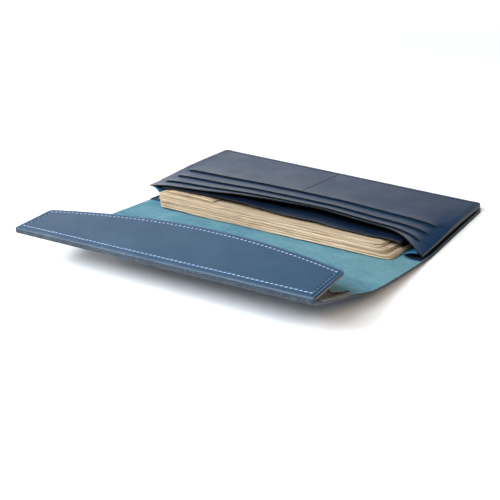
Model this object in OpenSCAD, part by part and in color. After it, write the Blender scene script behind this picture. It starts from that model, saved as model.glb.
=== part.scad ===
// Long wallet, lying open. One outer leather runs under the body, turns up as the
// spine and flap, and folds back at the front edge as a curved strip that closes a
// coin pocket. The body holds a note compartment, a divider and a panel of card pockets.
// The origin is the centre of the body's resting face. +X runs along the wallet,
// +Y towards the sewn edge and +Z up. Depths are given from the body's mouth edge.

/* [Body] */
// Length of the card panel, side to side
panel_len = 195; // [180:1:205]
// Depth of the body, from the mouth edge to the sewn edge
body_depth = 92; // [88:1:96]
// How far the outer leather stands out past the card panel at each side
outer_margin = 0.5; // [0:0.25:1.5]
// Height of the card panel's top at the sewn edge, on the centre line
sewn_height = 7.3; // [7:0.1:8]
// How much the sewn edge is higher at the left end than at the centre
sewn_tilt = 1.7; // [0:0.1:1.8]

/* [Leather thicknesses] */
// Outer leather
outer_t = 1.6; // [1.4:0.1:1.7]
// Lining of the strip
lining_t = 0.6; // [0.4:0.1:0.6]
// Backing of the card panel
backing_t = 0.8; // [0.6:0.1:0.9]
// Each card pocket
pocket_t = 0.6; // [0.4:0.1:0.6]
// Divider behind the notes
divider_t = 0.7; // [0.5:0.1:0.8]
// Gusset leather
gusset_t = 0.5; // [0.3:0.1:0.6]

/* [Outer leather] */
// Distance from the mouth edge to the bend between body and spine
lower_bend = 13.5; // [13.5:0.5:15]
// Length of the spine, between its two bends
spine_len = 28; // [27:0.5:30]
// Distance from the mouth edge to the flap's front fold
flap_reach = 121.5; // [118:0.5:125]
// How far inside the mouth edge the leather leaves the table
lift_start = 12; // [8:1:14]
// Slope of the leather where it leaves the table
lift_slope = 0.12; // [0.11:0.005:0.125]
// Change of that slope from the centre to an end
lift_twist = 0.02; // [0:0.005:0.02]
// Extra slope that the flap curls up to
curl_slope = 0.209; // [0.2:0.003:0.209]
// Distance from the mouth edge to the middle of the curl
curl_start = 60; // [60:1:64]
// Softness of the curl
curl_radius = 12; // [8:1:14]

/* [Strip] */
// Length of the folded-back strip
strip_len = 192; // [188:1:194]
// Depth of the strip at its left end
strip_end_depth = 29; // [26:0.5:30]
// How much deeper the strip is at its right end
strip_flare = 2.2; // [0:0.1:2.4]
// How much deeper the strip is at its middle
strip_bulge = 13; // [10:0.5:14]
// Radius of the strip's rear corners
strip_corner_r = 2.5; // [2:0.5:6]
// Height of the strip's top along the front fold, at the centre
strip_front_z = 33; // [33:0.1:34]
// Rise of the front fold from the centre to an end
strip_front_tilt = 2.7; // [2.5:0.1:2.8]
// Slope of the strip, from the fold to the rear, at the centre
strip_slope = 0.045; // [0.045:0.005:0.08]
// Change of that slope from the centre to the right end
strip_slope_twist = 0.01; // [0:0.005:0.015]
// How much flatter the two ends are than the centre
strip_slope_sag = 0.035; // [0.02:0.005:0.035]

/* [Card panel] */
// Step from one pocket mouth to the next
tier_step = 13; // [11:0.5:14]
// Distance from the mouth edge to the first pocket mouth
first_tier = 11; // [9:0.5:12]
// Place of the seam between the two columns, from the centre
seam_x = -3; // [-5:1:5]
// Share of the panel's rise that is a straight wedge, at the centre; the rest curls up
wedge_share = 0.6; // [0.6:0.02:0.8]
// Change of that share from the centre to an end
wedge_share_twist = 0.15; // [0:0.01:0.15]

/* [Notes] */
// Depth of a bundle of notes
note_depth = 76; // [70:1:76]
// How far the bottom bundle stands out of the mouth
note_reach = 12.3; // [8:0.1:12.3]
// Height of the stack at its front, at the left end
stack_front_top = 13.6; // [11:0.1:13.6]

/* [Stitching] */
// Distance between stitches
stitch_pitch = 4; // [3:0.5:6]
// Distance of the stitches from the leather's edge
stitch_inset = 3.6; // [2.6:0.2:4]
// Length of one stitch
stitch_len = 2.4; // [1.8:0.1:2.6]
// Thickness of the thread
thread_d = 0.5; // [0.4:0.1:0.7]

/* [Hidden] */

navy = [0.16, 0.26, 0.38];
teal = [0.42, 0.63, 0.67];
taupe = [0.45, 0.42, 0.40];
thread = [0.62, 0.72, 0.84];
dark_thread = [0.10, 0.11, 0.13];
paper = [0.87, 0.77, 0.62];

panel_half = panel_len / 2;
outer_half = panel_half + outer_margin;
strip_half = strip_len / 2;
// Clearance between pieces that lie on each other
layer_gap = 0.06;
// Half of the slit between two leathers that bend against each other
bend_gap = 0.2;
upper_bend = lower_bend + spine_len;
// Depth of the front fold, and the end of the flap leather behind it
fold_depth = 2.4;
fold_gap = 0.2;
flap_end = flap_reach - fold_depth - fold_gap;
tiers = 3;
welt_width = 7;
taper_start = 62;
taper_len = 24;

// ---- Surfaces ----

// Height of the outer leather's underside, at a distance in front of the mouth edge
function curl(s) = curl_slope * (norm([s - curl_start, curl_radius]) + s - curl_start) / 2;
function rise(x, s) =
    s <= -lift_start ? 0
    : (lift_slope + lift_twist * x / outer_half) * (s + lift_start) + curl(s) - curl(-lift_start);

// Height and slope of the strip's top
function strip_front(x) = strip_front_z + strip_front_tilt * x / strip_half;
function slope_at(x) =
    strip_slope + strip_slope_twist * x / strip_half - strip_slope_sag * pow(x / strip_half, 2);
function strip_top(x, y) = strip_front(x) + slope_at(x) * (y + flap_reach);

// Rear outline of the strip: a shallow bow with rounded corners
function corner_cut(x) =
    let (over = max(0, abs(x) - strip_half + strip_corner_r))
    strip_corner_r - sqrt(pow(strip_corner_r, 2) - pow(over, 2));
function strip_rear(x) =
    -flap_reach + strip_end_depth + strip_flare * (1 + x / strip_half) / 2
    + strip_bulge * (1 - pow(x / strip_half, 2)) - corner_cut(x);

// Top of the card panel along its mouth edge: low at the sewn corners, lifted between
crest = [[-panel_half, 13.2], [-84, 16], [-54, 18], [-28, 20.6], [seam_x, 22],
         [30, 23.2], [58, 21], [76, 20], [86, 17.5], [panel_half, 6.6]];
function wedge(x, y) =
    let (t = min(1, 1 - y / body_depth), share = wedge_share - wedge_share_twist * x / panel_half)
    share * t + (1 - share) * pow(t, 6);
function sewn_z(x) = sewn_height - sewn_tilt * x / panel_half - backing_t - tiers * pocket_t;
function backing_z(x, y) = sewn_z(x) + (lookup(x, crest) - backing_t - sewn_z(x)) * wedge(x, y);
function panel_z(x, y, layer) = backing_z(x, y) + backing_t + layer * (pocket_t + layer_gap);
// The divider lies close under the panel at the left and hangs away from it at the right
divider_sag = [[-75, 0.2], [-20, 2.3], [5, 4.2], [35, 4.7], [63, 4], [85, 2.2]];
function divider_drop(x, y) = 0.2 + lookup(x, divider_sag) * pow(wedge(x, y), 2);
// How far the front edge of the divider curls down
divider_lip = [[-45, 0], [-13, 1.6], [8, 2.9], [40, 2.9], [64, 2.3], [85, 1.4]];
function divider_z(x, y) = backing_z(x, y) - divider_t - divider_drop(x, y);

function spread(a, b, n) = [for (i = [0 : n]) a + (b - a) * i / n];
function within(list, a, b) = [for (v = list) if (v >= a && v <= b) v];

// ---- Building blocks ----

// Places what is measured from the mouth edge in the wallet's own frame
module from_mouth() {
    translate([0, -body_depth / 2, 0]) children();
}

// Closed solid between two grids of points, bottom and top, given row by row along X
module slab(bottom, top) {
    rows = len(bottom);
    cols = len(bottom[0]);
    function at(side, i, j) = side * rows * cols + i * cols + j;
    function cap(side, a, b, c, d) = side == 1 ? [[a, b, c], [a, c, d]] : [[c, b, a], [d, c, a]];
    points = [for (grid = [bottom, top], row = grid, p = row) p];
    caps = [for (side = [0, 1], i = [0 : rows - 2], j = [0 : cols - 2],
                 f = cap(side, at(side, i, j), at(side, i, j + 1),
                         at(side, i + 1, j + 1), at(side, i + 1, j))) f];
    ends = [for (j = [0 : cols - 2], f = [
                [at(0, 0, j), at(0, 0, j + 1), at(1, 0, j + 1)],
                [at(0, 0, j), at(1, 0, j + 1), at(1, 0, j)],
                [at(0, rows - 1, j + 1), at(0, rows - 1, j), at(1, rows - 1, j)],
                [at(0, rows - 1, j + 1), at(1, rows - 1, j), at(1, rows - 1, j + 1)]]) f];
    sides = [for (i = [0 : rows - 2], f = [
                [at(0, i + 1, 0), at(0, i, 0), at(1, i, 0)],
                [at(0, i + 1, 0), at(1, i, 0), at(1, i + 1, 0)],
                [at(0, i, cols - 1), at(0, i + 1, cols - 1), at(1, i + 1, cols - 1)],
                [at(0, i, cols - 1), at(1, i + 1, cols - 1), at(1, i, cols - 1)]]) f];
    polyhedron(points, concat(caps, ends, sides), convexity = 4);
}

// A stretch of the outer leather between two distances in front of the mouth edge. It narrows
// to the length of the strip before it is folded back.
function outer_half_at(s) =
    outer_half - (outer_half - strip_half) * min(1, max(0, (s - taper_start) / taper_len));
module outer_stretch(s_from, s_to, steps) {
    stations = spread(s_to, s_from, steps);
    function row(side, up) = [for (s = stations)
        let (x = side * outer_half_at(s)) [x, -s, rise(x, s) + up]];
    slab([row(-1, 0), row(1, 0)], [row(-1, outer_t), row(1, outer_t)]);
}

// A layer of the card panel between two columns and from one depth to the sewn edge
module panel_layer(x_from, x_to, y_from, base) {
    xs = within([for (c = crest) c[0]], x_from, x_to);
    tier_ys = [for (i = [0 : tiers - 1]) first_tier + i * tier_step];
    ys = within(concat([0], tier_ys, spread(tier_ys[tiers - 1] + tier_step, body_depth, 3)),
                y_from, body_depth);
    thick = base == 0 ? backing_t : pocket_t;
    function low(x, y) = base == 0 ? backing_z(x, y) : panel_z(x, y, base) - pocket_t;
    slab([for (x = xs) [for (y = ys) [x, y, low(x, y)]]],
         [for (x = xs) [for (y = ys) [x, y, low(x, y) + thick]]]);
}

// A V gusset: two leaves that meet in a fold pointing inwards.
// Each station is [y, low, high], the heights at the gusset's open side.
module v_gusset(side, edge_x, fold_x, stations) {
    half_t = gusset_t / 2;
    function leaf(edge_z, up) =
        [for (near = [0, 1]) [for (s = stations)
            let (middle = (s[1] + s[2]) / 2, e = edge_z == 1 ? s[2] - half_t : s[1] + half_t)
            [side * (near == 0 ? fold_x : edge_x), s[0], (near == 0 ? middle : e) + up * half_t]]];
    function facing(grid) = side > 0 ? grid : [grid[1], grid[0]];
    for (edge_z = [0, 1]) {
        slab(facing(leaf(edge_z, -1)), facing(leaf(edge_z, 1)));
    }
}

// One stitch lying along X, sunk to half its thickness in the leather under it
module stitch(turn = 0, tilt = 0) {
    rotate([tilt, 0, 0]) rotate([0, 0, turn]) cube([stitch_len, thread_d, thread_d], center = true);
}

// ---- Outer leather ----

module outer_back() {
    color(navy) from_mouth() union() {
        outer_stretch(-lift_start, lower_bend - bend_gap, 6);
        translate([-outer_half, lift_start, 0])
            cube([2 * outer_half, body_depth - lift_start, outer_t]);
    }
}

module spine_leather() {
    color(teal) from_mouth() outer_stretch(lower_bend + bend_gap, upper_bend - bend_gap, 6);
}

module flap_leather() {
    color(teal) from_mouth() outer_stretch(upper_bend + bend_gap, flap_end, 14);
}

module front_fold() {
    back_y = -flap_reach + fold_depth;
    function ring(x) = [
        [x, -flap_reach + 0.6, rise(x, flap_reach) + 0.1],
        [x, back_y, rise(x, flap_reach - fold_depth)],
        [x, -flap_reach + 0.7, strip_top(x, -flap_reach) - 0.05],
        [x, back_y, strip_top(x, back_y)]];
    nose = [for (x = [-strip_half, strip_half]) [
        [x, -flap_reach, rise(x, flap_reach) + 0.9],
        [x, -flap_reach, strip_front(x) - 1]]];
    rings = [for (x = [-strip_half, strip_half]) ring(x)];
    color(navy) from_mouth() slab(
        [for (i = [0, 1]) [nose[i][0], rings[i][0], rings[i][1]]],
        [for (i = [0, 1]) [nose[i][1], rings[i][2], rings[i][3]]]);
}

// ---- Strip and coin pocket ----

strip_columns = [for (i = [-12 : 12]) strip_half * sin(90 * i / 12)];
strip_back_y = -flap_reach + fold_depth + layer_gap;

module strip_layer(top_drop, thick, edge_cut) {
    function row(x, drop) = [
        for (y = [strip_back_y, strip_rear(x) - edge_cut]) [x, y, strip_top(x, y) - drop]];
    slab([for (x = strip_columns) row(x, top_drop + thick)],
         [for (x = strip_columns) row(x, top_drop)]);
}

module strip_panel() {
    color(navy) from_mouth() strip_layer(0, outer_t, 0);
}

module strip_lining() {
    color(taupe) from_mouth() strip_layer(outer_t + layer_gap, lining_t, 0.3);
}

module strip_stitching() {
    front_y = -flap_reach + fold_depth + 1.2;
    row_half = strip_half - stitch_inset;
    count = floor(row_half / stitch_pitch);
    color(thread) from_mouth() {
        for (i = [-count + 1 : count - 1]) {
            x = i * stitch_pitch;
            rear_y = strip_rear(x) - stitch_inset;
            lean = atan(2 * strip_bulge * x / pow(strip_half, 2));
            translate([x, front_y, strip_top(x, front_y)]) stitch(0, atan(slope_at(x)));
            translate([x, rear_y, strip_top(x, rear_y)]) stitch(-lean, atan(slope_at(x)));
        }
        for (side = [-1, 1],
             k = [1 : floor((strip_rear(side * row_half) - stitch_inset - front_y)
                            / stitch_pitch - 0.6)]) {
            x = side * row_half;
            y = front_y + k * stitch_pitch;
            translate([x, y, strip_top(x, y)]) stitch(90, atan(slope_at(x)));
        }
    }
}

// Stations of the strip gusset: open at the front and pinched together at the rear, where it
// ends on the flap
gusset_x = strip_half - 3;
gusset_end_y = -flap_reach + strip_end_depth + 9;
function strip_gusset_stations(side) = [
    for (y = [strip_back_y + 2.5, -flap_reach + strip_end_depth - 7, gusset_end_y])
    let (x = side * gusset_x, low = rise(x, -y) + outer_t + 0.15)
    [y, low, y == gusset_end_y ? low + 1.4
        : strip_top(x, y) - outer_t - lining_t - 2 * layer_gap - 0.25]];

module strip_gusset(side) {
    color(taupe) from_mouth()
        v_gusset(side, gusset_x, gusset_x - 6, strip_gusset_stations(side));
}

// The thread tack that holds the pinched end of the gusset down on the flap
module gusset_tack(side) {
    pinch = strip_gusset_stations(side)[2];
    color(dark_thread) from_mouth()
        translate([side * gusset_x, pinch[0] + 0.7, pinch[1] + 0.3])
        rotate([-16, 0, 0]) cube([2, 0.8, 0.6], center = true);
}

module strip_gusset_left() { strip_gusset(-1); }
module strip_gusset_right() { strip_gusset(1); }
module gusset_tack_left() { gusset_tack(-1); }
module gusset_tack_right() { gusset_tack(1); }

// ---- Body ----

function body_gusset_stations(side) = [
    for (y = [0.5, lift_start, body_depth / 2, body_depth - welt_width - 1])
    let (x = side * (panel_half - 3))
    [y, rise(x, -y) + outer_t + 0.1, backing_z(x, y) - 0.25]];

module body_gusset(side) {
    color(navy) from_mouth()
        v_gusset(side, panel_half - 3, panel_half - 11, body_gusset_stations(side));
}

module body_gusset_left() { body_gusset(-1); }
module body_gusset_right() { body_gusset(1); }

// The filler between the outer leather and the divider, which closes the sewn edge
module rear_welt() {
    xs = [-panel_half, 0, panel_half];
    ys = [body_depth - welt_width, body_depth - 0.3];
    color(navy) from_mouth()
        slab([for (x = xs) [for (y = ys) [x, y, outer_t + layer_gap]]],
             [for (x = xs) [for (y = ys) [x, y, divider_z(x, y) - 0.1]]]);
}

module divider() {
    xs = spread(-85, 85, 10);
    ys = concat([-2, 0, 3], spread(10, body_depth, 7));
    function low(x, y) = divider_z(x, y) - lookup(x, divider_lip) * pow(max(0, (3 - y) / 5), 1.3);
    color(navy) from_mouth()
        slab([for (x = xs) [for (y = ys) [x, y, low(x, y)]]],
             [for (x = xs) [for (y = ys) [x, y, low(x, y) + divider_t]]]);
}

// ---- Card panel ----

module card_backing() {
    color(navy) from_mouth() panel_layer(-panel_half, panel_half, 0, 0);
}

// Pocket 1 is the uppermost layer, with its mouth farthest from the mouth edge
module card_pocket(side, number) {
    layer = tiers + 1 - number;
    mouth_y = first_tier + (layer - 1) * tier_step;
    x_from = side < 0 ? -panel_half : seam_x;
    x_to = side < 0 ? seam_x : panel_half;
    color(navy) from_mouth() translate([side * layer_gap / 2, 0, 0])
        panel_layer(x_from, x_to, mouth_y, layer);
}

module card_pocket_left_1() { card_pocket(-1, 1); }
module card_pocket_left_2() { card_pocket(-1, 2); }
module card_pocket_left_3() { card_pocket(-1, 3); }
module card_pocket_right_1() { card_pocket(1, 1); }
module card_pocket_right_2() { card_pocket(1, 2); }
module card_pocket_right_3() { card_pocket(1, 3); }

module centre_seam_stitching() {
    first_y = first_tier + (tiers - 1) * tier_step + 3;
    count = floor((body_depth - 6 - first_y) / stitch_pitch);
    color(thread) from_mouth() for (k = [0 : count]) {
        y = first_y + k * stitch_pitch;
        z = panel_z(seam_x, y, tiers);
        lean = atan((panel_z(seam_x, y + 1, tiers) - panel_z(seam_x, y - 1, tiers)) / 2);
        translate([seam_x, y, z]) rotate([lean, 0, 0]) stitch(90);
    }
}

module panel_edge_stitching() {
    row_y = body_depth - stitch_inset;
    row_x = panel_half - stitch_inset;
    count = floor(row_x / stitch_pitch) - 1;
    side_count = floor((row_y - first_tier - (tiers - 1) * tier_step) / stitch_pitch) - 1;
    color(thread) from_mouth() {
        for (i = [-count : count]) {
            x = i * stitch_pitch;
            translate([x, row_y, panel_z(x, row_y, tiers)]) stitch(0);
        }
        for (side = [-1, 1], k = [1 : side_count]) {
            x = side * row_x;
            y = row_y - k * stitch_pitch;
            translate([x, y, panel_z(x, y, tiers)]) stitch(90);
        }
    }
}

// ---- Notes ----

bundles = 3;
slip_t = 0.9;
// Stations of the stack, from the front of the bottom bundle: its front, middle and rear
stack_ys = [0, 32, note_depth];
stack_low = [5.3, 2.5, 1.8];
// Top of the stack at its left end and at its right end
stack_left = [stack_front_top, 9, 5.4];
stack_right = [stack_front_top - 1, 6.8, 3.7];
function stack_top(x, j) = stack_left[j] + (stack_right[j] - stack_left[j]) * (x + 88) / 172;
function stack_z(x, j, share) = stack_low[j] + (stack_top(x, j) - stack_low[j]) * share;

module note_bundle(number) {
    share_from = (number - 1) / bundles;
    share_to = number / bundles;
    back = 3.5 * (number - 1);
    x_from = -81 - 2 * (number - 1);
    x_to = 84 - 4 * (number - 1);
    xs = spread(x_from, x_to, 4);
    function row(x, share, shift) = [
        for (j = [0 : 2]) [x, stack_ys[j] - note_reach + back, stack_z(x, j, share) + shift]];
    color(paper) from_mouth()
        slab([for (x = xs) row(x, share_from, 0.1)], [for (x = xs) row(x, share_to, -0.1)]);
}

module note_bundle_1() { note_bundle(1); }
module note_bundle_2() { note_bundle(2); }
module note_bundle_3() { note_bundle(3); }

module paper_slip() {
    xs = [-72, -43];
    back = 3.5 * (bundles - 1) + 1;
    function row(x, rise_by) = [
        for (j = [0, 1]) [x, stack_ys[j] - note_reach + back, stack_z(x, j, 1) + 0.1 + rise_by]];
    color(paper) from_mouth() slab([for (x = xs) row(x, 0)], [for (x = xs) row(x, slip_t)]);
}

outer_back();
spine_leather();
flap_leather();
front_fold();
strip_panel();
strip_lining();
strip_stitching();
strip_gusset_left();
strip_gusset_right();
gusset_tack_left();
gusset_tack_right();
body_gusset_left();
body_gusset_right();
rear_welt();
divider();
card_backing();
card_pocket_left_1();
card_pocket_left_2();
card_pocket_left_3();
card_pocket_right_1();
card_pocket_right_2();
card_pocket_right_3();
centre_seam_stitching();
panel_edge_stitching();
note_bundle_1();
note_bundle_2();
note_bundle_3();
paper_slip();
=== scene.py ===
import math

import bmesh
import bpy
import numpy as np
from mathutils import Matrix, Vector


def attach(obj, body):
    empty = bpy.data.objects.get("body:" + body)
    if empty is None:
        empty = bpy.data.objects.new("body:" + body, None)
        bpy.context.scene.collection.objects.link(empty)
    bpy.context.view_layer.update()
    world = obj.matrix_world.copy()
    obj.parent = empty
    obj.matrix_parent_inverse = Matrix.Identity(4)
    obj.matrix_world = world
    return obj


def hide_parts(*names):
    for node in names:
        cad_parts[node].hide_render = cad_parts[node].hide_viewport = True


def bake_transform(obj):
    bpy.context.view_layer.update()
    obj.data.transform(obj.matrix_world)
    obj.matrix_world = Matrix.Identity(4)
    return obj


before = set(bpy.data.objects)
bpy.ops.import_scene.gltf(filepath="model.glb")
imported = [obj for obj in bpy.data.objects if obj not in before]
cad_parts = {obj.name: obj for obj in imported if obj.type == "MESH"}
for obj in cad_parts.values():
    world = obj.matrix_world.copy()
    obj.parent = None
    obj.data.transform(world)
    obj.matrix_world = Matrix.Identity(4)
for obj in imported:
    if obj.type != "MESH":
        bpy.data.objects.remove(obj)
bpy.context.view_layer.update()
rng = np.random.default_rng(11)

# ---- Sizes of the wallet, in millimetres. Depths (y) are from the body's mouth edge. ----
DEPTH = 92.0  # the card panel, from the mouth edge to the sewn edge
HALF = 97.5  # half the card panel's length
OUT = 98.0  # half the outer leather's length
STRIP = 96.0  # half the strip's length
REACH = 121.5  # from the mouth edge to the flap's front
OUTER_T = 1.6  # thickness of the outer leather
BACKING_T = 0.8  # thickness of the card panel's backing
POCKET_T = 0.66  # how much each pocket adds to the card panel
LINING_T = 0.75  # thickness of the strip's lining
LIES_TO = -30.0  # the outer leather lies flat on the table behind this
JOIN_ONE, JOIN_TWO = 27.5, 84.0  # where the outer leather's three meshes meet
ROUND_FROM = 117.3  # where the flap's underside turns up into the fold
NOSE = 1.0  # the rounding of the fold at its upper corner
UNDER = 3.2  # from the flap's front to where the strip's underside begins
CUT = 0.3  # how far the outer leather's cut edges bulge
SEAM_X = -3.0  # the seam between the two columns of pockets
MOUTHS = [0.0, 11.0, 24.0, 37.0]  # the backing's and the pockets' mouths
PITCH = 2.7  # spacing of the stitches
INSET = 3.6  # of the strip's stitches, from its edge
STRIP_CORNER = 2.5  # rounding of the strip's rear corners
BORDER = 3.0  # of the panel's stitches, from its edge
GUSSET_FROM = 83.0  # the rear end of the strip's gussets
DIVIDER_HALF = 85.0  # half the divider's length
NOTES_FROM = -12.3  # the front of the lowest bundle of notes
NOTES_DEEP = 76.0  # depth of the notes
BUNDLES, LEAVES = 3, 7  # of the notes; leaves in each bundle


# ---- The wallet's shape at rest ----

def smooth(t):
    t = np.clip(t, 0, 1)
    return t * t * (3 - 2 * t)


def ramp(s, start, ease):
    """0 before start and s - start after it, with a soft bend between."""
    return (np.hypot(s - start, ease) + s - start) / 2


def corner(x, half, r):
    """How far an edge is set back at x by corners of radius r at both of its ends."""
    over = np.clip(np.abs(x) - half + r, 0, r)
    return r - np.sqrt(r * r - over ** 2)


def curl(s):
    """How much the flap curls up towards its front."""
    return 0.209 * ramp(s, 60, 12)


def rise(x, s):
    """Underside of the outer leather, at s in front of the mouth edge: flat on the table, then
    sloping up a little more at its right end, with the flap's curl on top of that."""
    slope = 0.12 + 0.02 * x / OUT
    settle = 0.015 * np.clip((s - LIES_TO) / 10, 0, 1)
    return np.where(s < LIES_TO, 0.0, slope * ramp(s, -12, 3) - settle + curl(s) - curl(LIES_TO))


def taper(s):
    """How much narrower the outer leather gets towards the front."""
    return 1 - 2.1 / OUT * smooth((s - 60) / 30) - 0.2 / OUT * smooth((s - 90) / 26)


def strip_top(x, y):
    """Top of the strip, which slopes up to the rear and is highest at its right end."""
    u = x / STRIP
    return 33 + 2.7 * u + (0.045 + 0.01 * u - 0.035 * u * u) * (y + REACH)


def strip_rear(x, r=STRIP_CORNER):
    """The strip's rear edge: an arch, a little deeper at its right end."""
    u = x / STRIP
    return -REACH + 29 + 1.1 * (1 + u) + 13 * (1 - u ** 2) - corner(x, STRIP, r)


def smooth_crest():
    """Height of the card panel's mouth edge along its length, rounded from a few heights."""
    along = [-HALF, -84, -54, -28, SEAM_X, 30, 58, 76, 86, HALF]
    height = [13.2, 16, 18, 20.6, 22, 23.2, 21, 20, 17.5, 6.6]
    step, spread, past = 0.25, 3.0, 20
    xs = np.arange(-HALF - past, HALF + past + step / 2, step)
    zs = np.interp(xs, along, height)
    left, right = xs < -HALF, xs > HALF
    zs[left] = height[0] + (xs[left] + HALF) * (height[1] - height[0]) / (along[1] + HALF)
    zs[right] = height[-1] + (xs[right] - HALF) * (height[-1] - height[-2]) / (HALF - along[-2])
    reach = int(4 * spread / step)
    weight = np.exp(-0.5 * (np.arange(-reach, reach + 1) * step / spread) ** 2)
    return xs, np.convolve(np.pad(zs, reach, mode="edge"), weight / weight.sum(), mode="valid")


CREST = smooth_crest()


def crest(x):
    return np.interp(x, *CREST)


def wedge(x, y):
    """How far the panel stands open: 1 at the mouth edge and 0 at the sewn edge."""
    t = np.minimum(1, 1 - y / DEPTH)
    share = 0.6 - 0.15 * x / HALF
    return share * t + (1 - share) * np.abs(t) ** 6


def backing_z(x, y):
    """Underside of the card panel. Its sides bow up a little between their two ends."""
    sewn = 4.7 - 1.7 * x / HALF
    t = np.clip(y / DEPTH, 0, 1)
    bow = 4 * t * (1 - t) * np.where(x > 0, 1.25, 0.6) * np.clip((np.abs(x) - 78) / 18, 0, 1) ** 2
    return sewn + (crest(x) - BACKING_T - sewn) * wedge(x, y) + bow


def divider_z(x, y):
    """Underside of the divider, which sags away from the panel and curls down at its front."""
    sag = np.interp(x, [-75, -20, 5, 35, 63, 85], [0.2, 2.3, 4.2, 4.7, 4, 2.2])
    lip = np.interp(x, [-45, -13, 8, 40, 64, 85], [0, 1.6, 2.9, 2.9, 2.3, 1.4])
    curled = lip * np.clip((3 - y) / 5, 0, 1) ** 1.3
    return backing_z(x, y) - 0.9 - sag * np.clip(wedge(x, y), 0, 1.05) ** 2 - curled


def panel_z(x, y, k):
    """Top of layer k of the card panel: 0 is the backing, 3 the uppermost pocket. The steps
    between the layers fade out in the pressed border along the two sides."""
    inside = smooth((HALF - np.abs(x) - 4.5) / 4)
    following = MOUTHS[k + 1] if k < 3 else 1e3
    border = 3 * POCKET_T * np.clip(np.minimum(y, following) / 45, 0, 1)
    border = border - 0.12 * np.clip((y - following + 0.5) / 2, 0, 1)
    lip = 0.0
    if k:
        border = border - 0.12 + 0.2 * np.clip((y - MOUTHS[k]) / 3, 0, 1)
        lip = 0.42 * np.exp(-np.clip(y - MOUTHS[k], 0, 60) / 4.5)
    return backing_z(x, y) + BACKING_T + inside * (POCKET_T * k + lip) + (1 - inside) * border


def at(x, y, z):
    """An array of points from arrays or numbers for each direction."""
    return np.stack(np.broadcast_arrays(x, y, z), -1).astype(float)


def unit(v):
    """The same directions with a length of 1."""
    return v / (np.linalg.norm(v, axis=-1, keepdims=True) + 1e-12)


def grid(xs, ys):
    """The x and the y of every point of a grid, as two arrays of columns by rows."""
    return np.meshgrid(xs, ys, indexing="ij")


def spaced(a, b, step):
    """Numbers from a to b, evenly spaced by about that step."""
    return np.linspace(a, b, max(2, int(round(abs(b - a) / step)) + 1))


# ---- Meshes ----

FAR = 50.0  # stands for a point that is nowhere near a cut edge


def add(name, data):
    """A new object in the scene."""
    obj = bpy.data.objects.new(name, data)
    bpy.context.scene.collection.objects.link(obj)
    return obj


def make(name, verts, faces, mats, index=None, edge=None, sharp=None):
    """A closed mesh from points in millimetres, with its place at rest and its distance from
    a cut edge stored on the points for the materials."""
    v = np.asarray(verts, float).copy()
    v[:, 1] -= DEPTH / 2
    v /= 1000
    mesh = bpy.data.meshes.new(name)
    mesh.from_pydata(v.tolist(), [], [list(f) for f in faces])
    for m in mats:
        mesh.materials.append(m)
    if index is not None:
        mesh.polygons.foreach_set("material_index", np.asarray(index, np.int32))
    bm = bmesh.new()
    bm.from_mesh(mesh)
    bmesh.ops.recalc_face_normals(bm, faces=bm.faces)
    bm.to_mesh(mesh)
    bm.free()
    mesh.polygons.foreach_set("use_smooth", np.ones(len(mesh.polygons), bool))
    rest = mesh.attributes.new("rest", "FLOAT_VECTOR", "POINT")
    rest.data.foreach_set("vector", v.astype(np.float32).ravel())
    edge = np.full(len(v), FAR) if edge is None else np.asarray(edge)
    from_edge = mesh.attributes.new("edge", "FLOAT", "POINT")
    from_edge.data.foreach_set("value", edge.astype(np.float32))
    if sharp:
        mesh.set_sharp_from_angle(angle=math.radians(sharp))
    return add(name, mesh)


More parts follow.
